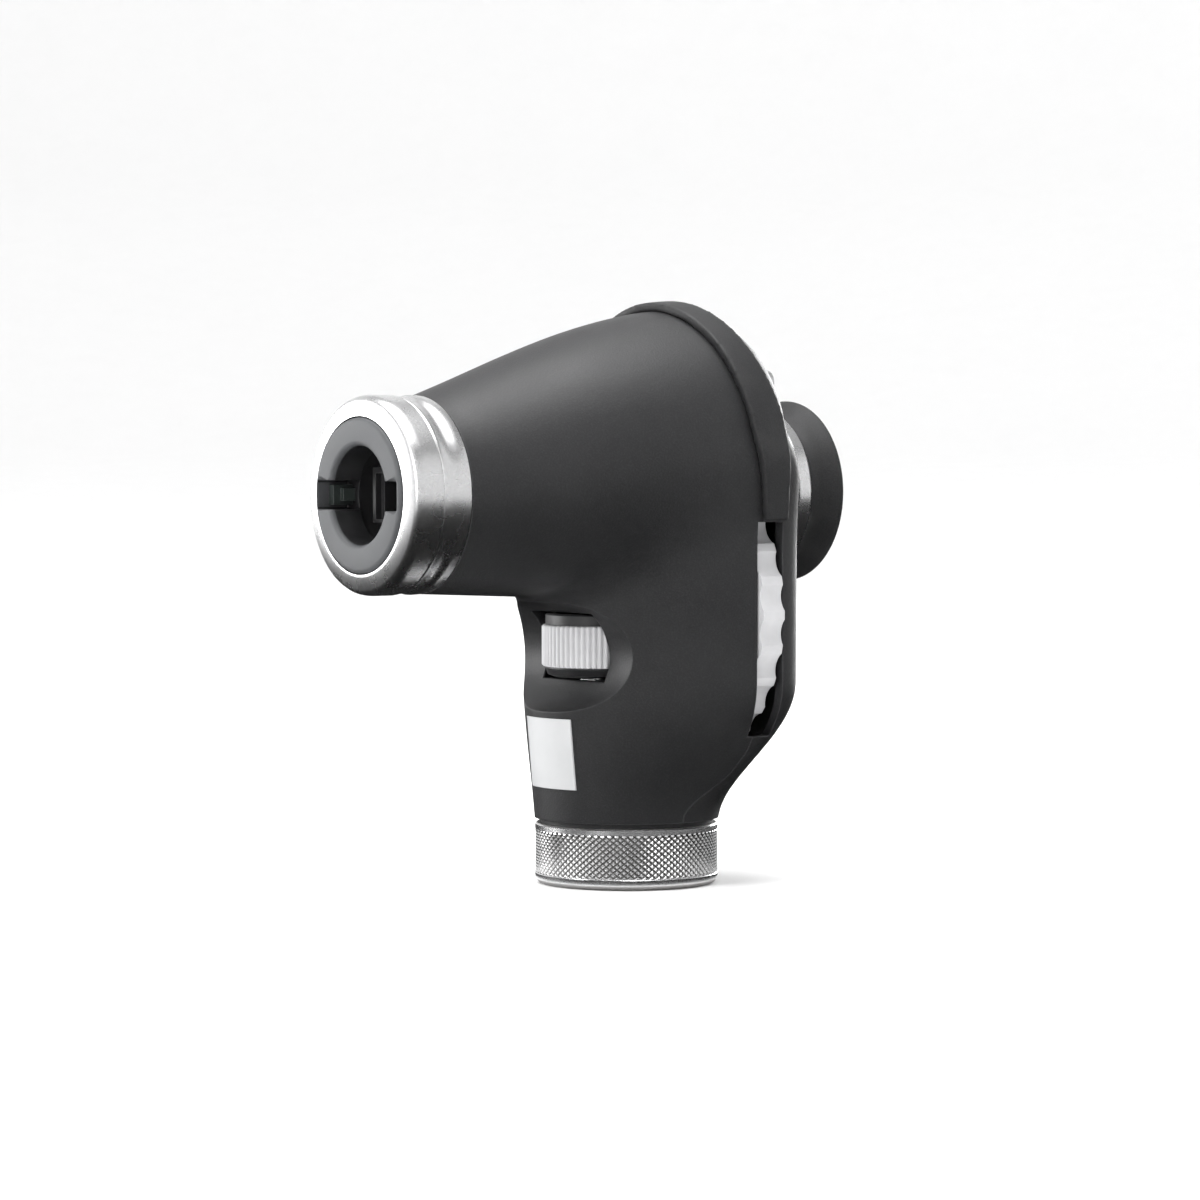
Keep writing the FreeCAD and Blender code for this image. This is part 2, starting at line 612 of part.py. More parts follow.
def focus_wheel():
    """Scalloped hand wheel, with an open arc in its web for the viewing path."""
    x0, x1 = WHEEL_FRONT_X, WHEEL_FRONT_X + WHEEL_THICK
    wheel = rod(WHEEL_RADIUS, x0, x1, 0, WHEEL_Z)
    notch_radius = 3.4
    notch_depth = 0.85
    for index in range(WHEEL_SCALLOPS):
        angle = 2 * math.pi * (index + 0.5) / WHEEL_SCALLOPS
        reach = WHEEL_RADIUS + notch_radius - notch_depth
        y, z = reach * math.cos(angle), WHEEL_Z + reach * math.sin(angle)
        wheel = wheel.cut(rod(notch_radius, x0 - 1, x1 + 1, y, z))
    inner = WHEEL_RADIUS - notch_depth - WHEEL_RIM + 0.4
    hub = rod(WHEEL_AXLE_RADIUS + 2.5, GEAR_X + GEAR_THICK + 0.02, x1, 0, WHEEL_Z)
    dish = [rod(inner, x0 - 1, x0 + 1.2, 0, WHEEL_Z), rod(inner, x1 - 1.3, x1 + 1, 0, WHEEL_Z)]
    arc = rod(inner, x0 - 1, x1 + 1, 0, WHEEL_Z).cut(rod(14.6, x0 - 2, x1 + 2, 0, WHEEL_Z))
    blocked = math.radians(WHEEL_TURN + 18)
    far = 60.0
    left = Vector(x0 - 2, -far * math.sin(blocked), WHEEL_Z + far * math.cos(blocked))
    right = Vector(x0 - 2, far * math.sin(blocked), WHEEL_Z + far * math.cos(blocked))
    centre = Vector(x0 - 2, 0, WHEEL_Z)
    wedge = Part.Face(Part.makePolygon([centre, left, right, centre])).extrude(Vector(12, 0, 0))
    for cutter in dish + [arc.cut(wedge)]:
        wheel = wheel.cut(cutter)
    return wheel.fuse(hub).cut(rod(WHEEL_AXLE_RADIUS + SLIDE_CLEARANCE, 0, 30, 0, WHEEL_Z))


def wheel_axle():
    return rod(WHEEL_AXLE_RADIUS, REAR_PLATE_X, AXLE_BOSS_X + 2.3, 0, WHEEL_Z)


def focus_carriage():
    """Lens holder with arms to the screw nut and the two guide rods."""
    x0, x1 = CARRIAGE_FRONT_X, CARRIAGE_FRONT_X + CARRIAGE_LENGTH
    body = rod(CARRIAGE_RADIUS, x0, x1)
    arm_x = (x0, x0 + 3.0)
    body = body.fuse(bar(arm_x, (4.6, SCREW_Y), (screw_z(), AXIS_Z)))
    body = body.fuse(rod(3.9, arm_x[0], arm_x[1], SCREW_Y, screw_z()))
    for y, z in RODS_YZ:
        body = body.fuse(rod(2.2, x0, x1, y, z))
        reach = sorted((0.0, y))
        body = body.fuse(bar((x0, x1), reach, (z - 1.1, z + 1.1)).cut(rod(2.0, x0, x1, y, z)))
        body = body.cut(rod(ROD_RADIUS + SLIDE_CLEARANCE, x0 - 1, x1 + 1, y, z))
    body = body.cut(rod(LENS_RADIUS, x0 - 1, x0 + 5.2))
    body = body.cut(rod(LENS_RADIUS - 1.0, x0 - 1, x1 + 1))
    return body.cut(rod(2.9, x0 - 1, x1 + 1, SCREW_Y, screw_z()))


def focus_lens():
    return lens(CARRIAGE_FRONT_X + 3.4, LENS_RADIUS - 0.02, 1.6, 0.9, 0.5)


def drive_nut():
    x0 = CARRIAGE_FRONT_X - 0.6
    nut = rod(2.88, x0, x0 + 4.2, SCREW_Y, screw_z()).fuse(rod(3.6, x0, x0 + 0.58, SCREW_Y, screw_z()))
    return nut.cut(rod(SCREW_RADIUS + SLIDE_CLEARANCE, x0 - 1, x0 + 6, SCREW_Y, screw_z()))


# ---------------------------------------------------------------- eyepiece
def collar_x():
    """The collar's front face clears the highest point of the rear cover under it."""
    angles = [math.pi * step / 6 for step in range(12)]
    rim = [(EYE_COLLAR_RADIUS * math.cos(a), AXIS_Z + EYE_COLLAR_RADIUS * math.sin(a)) for a in angles]
    return max(rear_surface_x(y, z, 0.0) for y, z in rim + [(0.0, AXIS_Z)]) + 0.05


def eyepiece_tube():
    x0 = WHEEL_FRONT_X + WHEEL_THICK + 1.5
    back = collar_x()
    profile = [(x0, EYE_TUBE_RADIUS - 2.2), (x0, EYE_TUBE_RADIUS), (back, EYE_TUBE_RADIUS),
               (back, EYE_COLLAR_RADIUS), (EYE_RING_X[0], EYE_COLLAR_RADIUS),
               (EYE_RING_X[0], EYE_TUBE_RADIUS - 0.4), (EYE_RING_X[1] - 0.3, EYE_TUBE_RADIUS - 0.4),
               (EYE_RING_X[1] - 0.3, EYE_TUBE_RADIUS - 2.2)]
    return turned_on_x(profile)


def eyepiece_lens():
    return lens(EYE_RING_X[0] - 2.0, EYE_TUBE_RADIUS - 2.22, 2.4, 1.0, 1.0)


def field_lens():
    return lens(WHEEL_FRONT_X + WHEEL_THICK + 4.0, EYE_TUBE_RADIUS - 2.22, 1.6, 0.0, 0.6)


def eyepiece_ring():
    """Bright ring that clamps the eyecup's foot on the eyepiece tube."""
    r = EYE_RING_RADIUS
    x0, x1 = EYE_RING_X
    profile = [(x0 + 0.02, EYE_TUBE_RADIUS - 0.35), (x0 + 0.02, r - 0.5), (x0 + 0.5, r), (x1 - 0.8, r),
               (x1, r - 0.7), (x1, EYE_TUBE_RADIUS - 0.35)]
    return turned_on_x(profile)


def eyecup():
    """Soft flared cup for the examiner's eye."""
    x0 = EYE_RING_X[1] + 0.02
    rim = EYECUP_RIM_RADIUS
    profile = [(x0, 9.6), (x0, 12.4), (x0 + 1.6, 12.6), (x0 + 3.4, rim - 0.9), (x0 + 4.5, rim), (EYECUP_RIM_X, rim),
               (EYECUP_RIM_X + 0.1, rim - 0.6), (x0 + 3.6, rim - 3.0), (x0 + 1.6, 9.6)]
    return turned_on_x(profile)


def eye_window():
    x0 = EYE_RING_X[1] - 0.28
    return rod(9.55, x0, x0 + 1.2)


# ---------------------------------------------------------------- aperture dial and lamp
def aperture_dial():
    """Ribbed thumb band."""
    z0, z1 = DIAL_BAND_Z
    points = []
    for rib in range(DIAL_RIBS):
        for share, radius in ((0.0, DIAL_RADIUS - 0.35), (0.3, DIAL_RADIUS), (0.7, DIAL_RADIUS)):
            angle = 2 * math.pi * (rib + share) / DIAL_RIBS
            points.append(Vector(DIAL_X + radius * math.cos(angle), radius * math.sin(angle), z0))
    band = Part.Face(Part.makePolygon(points + points[:1])).extrude(Vector(0, 0, z1 - z0))
    return band.cut(post(DIAL_CORE_RADIUS - 1.5, z0 - 1, z1 + 1, DIAL_X))


def aperture_places():
    places = []
    for index in range(APERTURES):
        angle = 2 * math.pi * index / APERTURES
        places.append((DIAL_X + APERTURE_CIRCLE * math.cos(angle), APERTURE_CIRCLE * math.sin(angle)))
    return places


def dial_core():
    """Black drum inside the thumb band, with a floor that holds the apertures."""
    r = DIAL_CORE_RADIUS
    z0, z1 = DIAL_CORE_Z
    b0, b1 = DIAL_BAND_Z
    inner = r - 1.52
    profile = [(DIAL_AXLE_RADIUS + SLIDE_CLEARANCE, z0), (r - 1.4, z0), (r - 0.4, z0 + 0.4), (r, z0 + 1.4),
               (r, b0 - 0.02), (inner, b0 - 0.02), (inner, b1 + 0.02), (r, b1 + 0.02), (r, z1 - 0.3),
               (r - 0.3, z1), (r - 1.4, z1), (r - 1.4, b1), (inner - 0.8, b1), (inner - 0.8, DISC_Z[1]),
               (2.4, DISC_Z[1]), (2.4, z1 - 1.0), (DIAL_AXLE_RADIUS + SLIDE_CLEARANCE, z1 - 1.0)]
    drum = turned_on_z(profile, DIAL_X)
    for x, y in aperture_places():
        drum = drum.cut(post(BEAM_RADIUS, z0 - 1, z1 + 1, x, y))
    return drum


def aperture_stops():
    """Small discs set in the drum's floor: open stops of different size and a slit."""
    stops = []
    holes = (1.5, 1.0, 0.55, 1.5, 1.2, 0.0)
    for (x, y), hole in zip(aperture_places(), holes):
        stop = post(BEAM_RADIUS - 0.02, DISC_Z[0], DISC_Z[0] + 0.6, x, y)
        low, high = DIAL_CORE_Z
        cutter = post(hole, low, high, x, y) if hole else bar((x - 0.25, x + 0.25), (y - 1.4, y + 1.4), DIAL_CORE_Z)
        stops.append(stop.cut(cutter))
    return group(stops)


def dial_filters():
    """Coloured glass over two of the stops."""
    return group([post(BEAM_RADIUS - 0.02, DISC_Z[0] + 0.62, DISC_Z[1], x, y) for x, y in aperture_places()[3:5]])


def dial_axle():
    return post(DIAL_AXLE_RADIUS, LAMP_ARM_Z - 2.2, BRIDGE_Z[1], DIAL_X)


def dial_bridge():
    """Upper bearing of the dial, held by the rear bulkhead."""
    bridge = bar((DIAL_X - 2.4, REAR_PLATE_X - 0.02), (-4.0, 4.0), BRIDGE_Z)
    low, high = BRIDGE_Z[0] - 1, BRIDGE_Z[1] + 1
    bridge = bridge.cut(post(BEAM_RADIUS + 0.5, low, high, 0))
    return bridge.cut(post(DIAL_AXLE_RADIUS + 0.01, low, high, DIAL_X))


def detent_spring():
    """Leaf whose bent tip rides just above the drum."""
    top = DIAL_CORE_Z[1]
    leaf = bar((REAR_PLATE_X - 1.2, REAR_PLATE_X - 0.02), (5.0, 8.0), (top - 1.0, top + 5.0))
    return leaf.fuse(bar((-1.5, REAR_PLATE_X - 0.02), (5.0, 8.0), (top + 0.35, top + 0.75)))


def lamp_block():
    """Aluminium heat sink, with an arm for the dial's lower bearing."""
    z0, z1 = LAMP_BLOCK_Z
    block = post(LAMP_BLOCK_RADIUS, z0, z1)
    for fin in range(4):
        fin_z = z0 + 2.0 + 2.4 * fin
        ring = post(LAMP_BLOCK_RADIUS + 1, fin_z, fin_z + 1.0).cut(post(LAMP_BLOCK_RADIUS - 1.6, fin_z, fin_z + 1.0))
        block = block.cut(ring)
    arm_end = -CONDENSER_RADIUS - 0.4
    arm = bar((-LAMP_BLOCK_RADIUS, arm_end), (-2.0, 2.0), (z1 - 0.5, LAMP_ARM_Z))
    block = block.fuse(arm.cut(bar((arm_end - 0.1, 0), (-3, 3), (z1, DIAL_CORE_Z[1]))))
    return block.cut(post(DIAL_AXLE_RADIUS + 0.01, LAMP_ARM_Z - 2.3, DIAL_CORE_Z[1], DIAL_X))


def led_board():
    z1 = LAMP_BLOCK_Z[1]
    return post(3.3, z1 + 0.02, z1 + 0.8)


def led_lamp():
    z1 = LAMP_BLOCK_Z[1] + 0.82
    dome = Part.makeSphere(1.5, Vector(0, 0, z1 + 0.6)).common(post(1.5, z1 + 0.6, z1 + 3))
    return post(1.8, z1, z1 + 0.6).fuse(dome)


def condenser_tube():
    tube = post(CONDENSER_RADIUS, CONDENSER_Z[0], CONDENSER_Z[1])
    tube = tube.cut(post(CONDENSER_RADIUS - 0.5, CONDENSER_Z[0] - 1, CONDENSER_Z[1] - 0.5))
    return tube.cut(post(BEAM_RADIUS, CONDENSER_Z[0] - 5, CONDENSER_Z[1] + 5))


def condenser_lens():
    top = CONDENSER_Z[1] - 1.2
    glass = post(CONDENSER_RADIUS - 0.52, top - 1.8, top)
    cap = Part.makeSphere(3.4, Vector(0, 0, top)).common(post(2.5, top - 3.0, top - 1.8))
    return glass.fuse(cap)


# ---------------------------------------------------------------- base
def knurled_ring():
    r = RING_RADIUS
    profile = [(SOCKET_OUTER + 0.25, 0), (r - 1.0, 0), (r, 0.9), (r, 1.8), (r - 0.3, 2.1), (r - 0.3, 8.7), (r, 9.0),
               (r, RING_HEIGHT - 0.3), (r - 0.3, RING_HEIGHT), (SOCKET_OUTER + 0.25, RING_HEIGHT)]
    return turned_on_z(profile)


def handle_socket():
    """Metal socket for the battery handle: a bore, two bayonet lugs and a floor."""
    socket = post(SOCKET_OUTER, SOCKET_MOUTH_Z, SOCKET_TOP_Z)
    bore = post(SOCKET_BORE, -1, SOCKET_FLOOR_Z)
    relief = post(SOCKET_BORE + SOCKET_RELIEF, SOCKET_BORE_TOP_Z, SOCKET_FLOOR_Z)
    socket = socket.cut(bore).cut(relief).cut(post(CHAMBER_RADIUS + 1.22, 0, 20))
    socket = socket.cut(post(SOCKET_RECESS, SOCKET_FLOOR_Z + FLOOR_THICK, 20))
    for side in (-1, 1):
        y = sorted((side * (SOCKET_BORE - LUG_REACH), side * (SOCKET_BORE + SOCKET_RELIEF + 0.3)))
        lug = bar((-2.0, 2.0), y, (LUG_Z, LUG_Z + LUG_HEIGHT))
        socket = socket.fuse(lug)
    for x, y in socket_screw_places():
        socket = socket.cut(post(1.02, SOCKET_FLOOR_Z - 1, SOCKET_TOP_Z, x, y))
    return socket


def socket_screw_places():
    angles = [math.radians(degrees) for degrees in (45, 135, 225, 315)]
    return [(SOCKET_SCREW_CIRCLE * math.cos(angle), SOCKET_SCREW_CIRCLE * math.sin(angle)) for angle in angles]


def socket_screws():
    """Screws that hold the socket's floor to the lamp block."""
    screws = []
    for x, y in socket_screw_places():
        shank = post(1.0, SOCKET_FLOOR_Z - 0.01, SOCKET_TOP_Z - 0.6, x, y)
        head = post(1.8, SOCKET_FLOOR_Z - 0.9, SOCKET_FLOOR_Z - 0.02, x, y)
        screws.append(shank.fuse(head))
    return group(screws)


def neck_seal():
    """Thin black spacer between the ring and the shells."""
    ring = post(NECK_RADIUS - 0.9, RING_HEIGHT + 0.02, NECK_BOTTOM_Z - 0.02)
    return ring.cut(post(SOCKET_OUTER + 0.05, 0, 20))


def socket_clamp():
    """Inner ring that ties the socket to the lamp block."""
    z0 = SOCKET_FLOOR_Z + FLOOR_THICK + 0.02
    plate = post(SOCKET_RECESS - 0.05, z0, z0 + 2.0).cut(post(INSULATOR_FLANGE + 0.05, 0, 30))
    for x, y in socket_screw_places():
        plate = plate.cut(post(1.02, 0, 30, x, y))
    return plate


def contact_insulator():
    """Plastic cup that holds the sprung contact."""
    z0 = SOCKET_FLOOR_Z - 0.6
    top = CHAMBER_TOP_Z
    cup = post(CHAMBER_RADIUS + 1.2, z0, top)
    cup = cup.fuse(post(INSULATOR_FLANGE, SOCKET_FLOOR_Z + FLOOR_THICK + 0.02, 12.2))
    cup = cup.cut(post(CHAMBER_RADIUS, PIN_COLLAR_Z - 0.02, top + 1))
    return cup.cut(post(PIN_RADIUS + SLIDE_CLEARANCE, z0 - 1, top))


def contact_pin():
    tip = post(PIN_RADIUS, PIN_TIP_Z, PIN_COLLAR_Z + 1.0)
    nose = Part.makeSphere(2.2, Vector(0, 0, PIN_TIP_Z + 2.2)).common(post(PIN_RADIUS, PIN_TIP_Z, PIN_TIP_Z + 1.2))
    tip = tip.cut(post(PIN_RADIUS, PIN_TIP_Z - 1, PIN_TIP_Z + 1.2)).fuse(nose)
    return tip.fuse(post(PIN_COLLAR_RADIUS, PIN_COLLAR_Z, PIN_COLLAR_Z + 0.9))


def contact_spring():
    """Helical spring between the pin's collar and the lamp block."""
    half = SPRING_WIRE / 2
    z0 = PIN_COLLAR_Z + 0.9 + half + 0.05
    z1 = CHAMBER_TOP_Z - half - 0.05
    path = Part.makeHelix((z1 - z0) / SPRING_TURNS, z1 - z0, SPRING_RADIUS)
    path.translate(Vector(0, 0, z0))
    corners = [Vector(SPRING_RADIUS + dx, 0, z0 + dz) for dx, dz in
               ((-half, -half), (half, -half), (half, half), (-half, half), (-half, -half))]
    return Part.Wire(path.Edges).makePipeShell([Part.makePolygon(corners)], True, True)


def driver_board():
    """Lamp driver circuit board, upright behind the lamp block."""
    return bar((8.6, 9.8), (-5.0, 5.0), (13.0, 18.0))


# ---------------------------------------------------------------- fasteners
def cover_post_end_x(y, z):
    """A post ends where its whole face is clear of the cover's curved inside."""
    return min(rear_surface_x(y + dy, z + dz, -WALL) for dy in (-2.2, 2.2) for dz in (-2.2, 2.2)) - 0.15


def cover_posts():
    """Long threaded posts from the rear bulkhead to the rear cover, above the wheel."""
    x0 = REAR_PLATE_X + PLATE_THICK + 0.01
    posts = []
    for y, z in COVER_SCREWS_YZ:
        x1 = cover_post_end_x(y, z)
        posts.append(rod(2.2, x0, x1, y, z).cut(rod(SCREW_SHANK + 0.01, x1 - 6, x1 + 1, y, z)))
    return group(posts)


def cover_screws():
    screws = []
    for y, z in COVER_SCREWS_YZ:
        seat = screw_seat_x(y, z) + 0.01
        end = cover_post_end_x(y, z) - 5.5
        head = rod(SCREW_HEAD, seat, seat + 1.2, y, z).cut(bar((seat + 0.6, 40), (y - 0.3, y + 0.3), (z - 3, z + 3)))
        screws.append(head.fuse(rod(SCREW_SHANK, end, seat + 0.3, y, z)))
    return group(screws)


def main():
    outer = form_solid(0.0)
    hollow = form_solid(-WALL, 1.0)
    pieces = {
        "front_shell": front_shell(outer, hollow),
        "rear_cover": rear_cover(outer, hollow),
        "brow_rest": brow_rest(outer),
        "nose_ring": nose_ring(),
        "nose_insert": nose_insert(),
        "baffle_plate": baffle_plate(),
        "slot_catches": slot_catches(),
        "label_plate": label_plate(),
        "optics_barrel": optics_barrel(),
        "objective_lens": objective_lens(),
        "objective_ring": objective_ring(),
        "light_guide": light_guide(),
        "guide_prism": guide_prism(),
        "beam_mirror": beam_mirror(),
        "mirror_block": mirror_block(),
        "front_bulkhead": front_bulkhead(),
        "rear_bulkhead": rear_bulkhead(),
        "bulkhead_posts": bulkhead_posts(),
        "guide_rods": guide_rods(),
        "focus_screw": focus_screw(),
        "screw_pinion": screw_pinion(),
        "focus_carriage": focus_carriage(),
        "focus_lens": focus_lens(),
        "drive_nut": drive_nut(),
        "focus_wheel": focus_wheel(),
        "wheel_gear": wheel_gear(),
        "wheel_axle": wheel_axle(),
        "eyepiece_tube": eyepiece_tube(),
        "eyepiece_lens": eyepiece_lens(),
        "field_lens": field_lens(),
        "eyepiece_ring": eyepiece_ring(),
        "eyecup": eyecup(),
        "eye_window": eye_window(),
        "aperture_dial": aperture_dial(),
        "dial_core": dial_core(),
        "aperture_stops": aperture_stops(),
        "dial_filters": dial_filters(),
        "dial_axle": dial_axle(),
        "dial_bridge": dial_bridge(),
        "detent_spring": detent_spring(),
        "lamp_block": lamp_block(),
        "led_board": led_board(),
        "led_lamp": led_lamp(),
        "condenser_tube": condenser_tube(),
        "condenser_lens": condenser_lens(),
        "knurled_ring": knurled_ring(),
        "handle_socket": handle_socket(),
        "socket_clamp": socket_clamp(),
        "socket_screws": socket_screws(),
        "neck_seal": neck_seal(),
        "contact_insulator": contact_insulator(),
        "contact_pin": contact_pin(),
        "contact_spring": contact_spring(),
        "driver_board": driver_board(),
        "cover_posts": cover_posts(),
        "cover_screws": cover_screws(),
    }
    os.makedirs("parts", exist_ok=True)
    for name, shape in pieces.items():
        shape.exportStep("parts/" + name + ".step")


main()
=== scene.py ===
"""Looks of the ophthalmoscope head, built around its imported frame.

Pieces are shaped in millimetres and brought to metres when they are finished.
+Z is up, the nose points along -X and the examiner's eye is at +X.
"""

import math

import bmesh
import bpy
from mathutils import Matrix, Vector


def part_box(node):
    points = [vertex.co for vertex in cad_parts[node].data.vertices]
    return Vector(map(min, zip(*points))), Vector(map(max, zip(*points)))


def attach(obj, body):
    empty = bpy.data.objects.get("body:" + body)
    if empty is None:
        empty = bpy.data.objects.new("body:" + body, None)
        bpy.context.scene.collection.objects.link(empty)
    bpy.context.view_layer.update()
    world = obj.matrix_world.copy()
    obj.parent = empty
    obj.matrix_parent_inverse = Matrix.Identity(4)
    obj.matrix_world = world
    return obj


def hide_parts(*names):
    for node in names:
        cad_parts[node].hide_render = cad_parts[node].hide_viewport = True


MM = 0.001
ALONG_X = Vector((1, 0, 0))
ALONG_Y = Vector((0, 1, 0))
UP = Vector((0, 0, 1))
FULL_TURN = 2 * math.pi

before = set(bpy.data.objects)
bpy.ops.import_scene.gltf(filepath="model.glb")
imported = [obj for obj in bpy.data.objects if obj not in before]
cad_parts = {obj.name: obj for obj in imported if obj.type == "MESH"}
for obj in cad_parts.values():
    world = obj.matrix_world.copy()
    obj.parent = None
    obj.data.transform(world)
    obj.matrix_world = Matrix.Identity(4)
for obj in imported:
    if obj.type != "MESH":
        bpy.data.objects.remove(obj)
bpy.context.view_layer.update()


# ---------------------------------------------------------------- shaping helpers
def box_mm(node):
    """Lowest and highest corner of a CAD node, in millimetres."""
    low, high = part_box(node)
    return low / MM, high / MM


def lathe(profile, axis, centre, steps=128):
    """Turns a closed outline of (along, radius) points about an axis through centre."""
    bm = bmesh.new()
    outward = UP if axis == ALONG_X else ALONG_X
    base = centre - axis * centre.dot(axis)
    points = [bm.verts.new(base + axis * along + outward * radius) for along, radius in profile]
    edges = [bm.edges.new(pair) for pair in zip(points, points[1:] + points[:1])]
    bmesh.ops.spin(bm, geom=points + edges, cent=base, axis=axis, angle=FULL_TURN, steps=steps,
                   use_merge=True)
    bmesh.ops.remove_doubles(bm, verts=bm.verts, dist=0.0005)
    bmesh.ops.recalc_face_normals(bm, faces=bm.faces)
    return bm


def round_edges(bm, width, segments=3, degrees=25):
    """Rounds every edge that is sharper than the given angle."""
    limit = math.radians(degrees)
    sharp = [e for e in bm.edges if len(e.link_faces) == 2 and e.calc_face_angle() > limit]
    bmesh.ops.bevel(bm, geom=sharp, offset=width, offset_type="OFFSET", affect="EDGES",
                    segments=segments, profile=0.5, material=-1, clamp_overlap=True)


def finish_piece(bm, name, body, slot, replaced=(), flats=True, crisp=180):
    """Makes the object from a bmesh in millimetres, with its finish, and sets what it rides on.

    Edges sharper than crisp degrees are shaded as corners."""
    bmesh.ops.scale(bm, vec=(MM, MM, MM), verts=bm.verts)
    for face in bm.faces:
        face.smooth = True
    for edge in bm.edges:
        if len(edge.link_faces) == 2 and edge.calc_face_angle() > math.radians(crisp):
            edge.smooth = False
    mesh = bpy.data.meshes.new(name)
    bm.to_mesh(mesh)
    bm.free()
    mesh.materials.append(FINISHES[slot])
    piece = bpy.data.objects.new(name, mesh)
    bpy.context.scene.collection.objects.link(piece)
    if flats:
        piece.modifiers.new("flats_stay_flat", "WEIGHTED_NORMAL").keep_sharp = True
    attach(piece, body)
    if replaced:
        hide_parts(*replaced)
    return piece


def cut_away(bm, cutters):
    """Cuts closed bmeshes out of a bmesh with exact booleans and gives the result."""
    def as_object(shape):
        mesh = bpy.data.meshes.new("blank")
        shape.to_mesh(mesh)
        shape.free()
        made = bpy.data.objects.new("blank", mesh)
        bpy.context.scene.collection.objects.link(made)
        return made

    blank = as_object(bm)
    tools = [as_object(cutter) for cutter in cutters]
    for tool in tools:
        modifier = blank.modifiers.new("cut", "BOOLEAN")
        modifier.object = tool
        modifier.operation = "DIFFERENCE"
        modifier.solver = "EXACT"
    bpy.context.view_layer.update()
    result = bmesh.new()
    result.from_object(blank, bpy.context.evaluated_depsgraph_get())
    for made in [blank] + tools:
        mesh = made.data
        bpy.data.objects.remove(made)
        bpy.data.meshes.remove(mesh)
    return result


def block(x, y, z):
    """A rectangular cutter from three (low, high) pairs."""
    bm = bmesh.new()
    bmesh.ops.create_cube(bm, size=1)
    bmesh.ops.scale(bm, vec=(x[1] - x[0], y[1] - y[0], z[1] - z[0]), verts=bm.verts)
    middle = Vector(((x[0] + x[1]) / 2, (y[0] + y[1]) / 2, (z[0] + z[1]) / 2))
    bmesh.ops.translate(bm, vec=middle, verts=bm.verts)
    return bm


# ---------------------------------------------------------------- material helpers
class Surface:
    """A Principled material with a few short ways of adding grain, colour and wear."""

    def __init__(self, name, colour, roughness, metal=0.0):
        self.material = bpy.data.materials.new(name)
        self.material.use_nodes = True
        self.nodes = self.material.node_tree.nodes
        self.links = self.material.node_tree.links
        self.shader = self.nodes["Principled BSDF"]
        self.shader.inputs["Base Color"].default_value = (*colour, 1)
        self.shader.inputs["Roughness"].default_value = roughness
        self.shader.inputs["Metallic"].default_value = metal
        self.place = self.nodes.new("ShaderNodeTexCoord").outputs["Object"]
        self.normal = None

    def stretched(self, scale):
        """Object coordinates scaled per axis, for grain that runs one way."""
        mapping = self.nodes.new("ShaderNodeMapping")
        mapping.inputs["Scale"].default_value = scale
        self.links.new(self.place, mapping.inputs["Vector"])
        return mapping.outputs["Vector"]

    def noise(self, scale, detail=3.0, roughness=0.55, place=None):
        node = self.nodes.new("ShaderNodeTexNoise")
        node.inputs["Scale"].default_value = scale
        node.inputs["Detail"].default_value = detail
        node.inputs["Roughness"].default_value = roughness
        self.links.new(place or self.place, node.inputs["Vector"])
        return node.outputs["Fac"]

    def cells(self, scale, place=None):
        node = self.nodes.new("ShaderNodeTexVoronoi")
        node.inputs["Scale"].default_value = scale
        self.links.new(place or self.place, node.inputs["Vector"])
        return node.outputs["Distance"]

    def between(self, factor, low, high, start=0.3, end=0.7):
        """A number that goes from low to high as factor goes from start to end."""
        node = self.nodes.new("ShaderNodeMapRange")
        for name, value in (("From Min", start), ("From Max", end), ("To Min", low), ("To Max", high)):
            node.inputs[name].default_value = value
        self.links.new(factor, node.inputs["Value"])
        return node.outputs["Result"]

    def blend(self, factor, first, second):
        """Two colours mixed by factor; each is a tuple or an earlier colour."""
        node = self.nodes.new("ShaderNodeMix")
        node.data_type = "RGBA"
        self.links.new(factor, node.inputs["Factor"])
        for socket, value in ((node.inputs[6], first), (node.inputs[7], second)):
            if isinstance(value, tuple):
                socket.default_value = (*value, 1)
            else:
                self.links.new(value, socket)
        return node.outputs[2]

    def colour(self, output):
        self.links.new(output, self.shader.inputs["Base Color"])

    def roughness(self, output):
        self.links.new(output, self.shader.inputs["Roughness"])

    def soft_edges(self, radius):
        """Shades edges as if they were rounded, and gives a mask that is 1 on them."""
        bevel = self.nodes.new("ShaderNodeBevel")
        bevel.samples = 6
        bevel.inputs["Radius"].default_value = radius
        flat = self.nodes.new("ShaderNodeNewGeometry")
        dot = self.nodes.new("ShaderNodeVectorMath")
        dot.operation = "DOT_PRODUCT"
        self.links.new(bevel.outputs["Normal"], dot.inputs[0])
        self.links.new(flat.outputs["Normal"], dot.inputs[1])
        self.normal = bevel.outputs["Normal"]
        return self.between(dot.outputs["Value"], 1.0, 0.0, 0.82, 0.985)

    def relief(self, height, depth, strength=1.0):
        """Raises the surface by depth metres where height is 1."""
        node = self.nodes.new("ShaderNodeBump")
        node.inputs["Strength"].default_value = strength
        node.inputs["Distance"].default_value = depth
        self.links.new(height, node.inputs["Height"])
        if self.normal:
            self.links.new(self.normal, node.inputs["Normal"])
        self.normal = node.outputs["Normal"]
        self.links.new(self.normal, self.shader.inputs["Normal"])


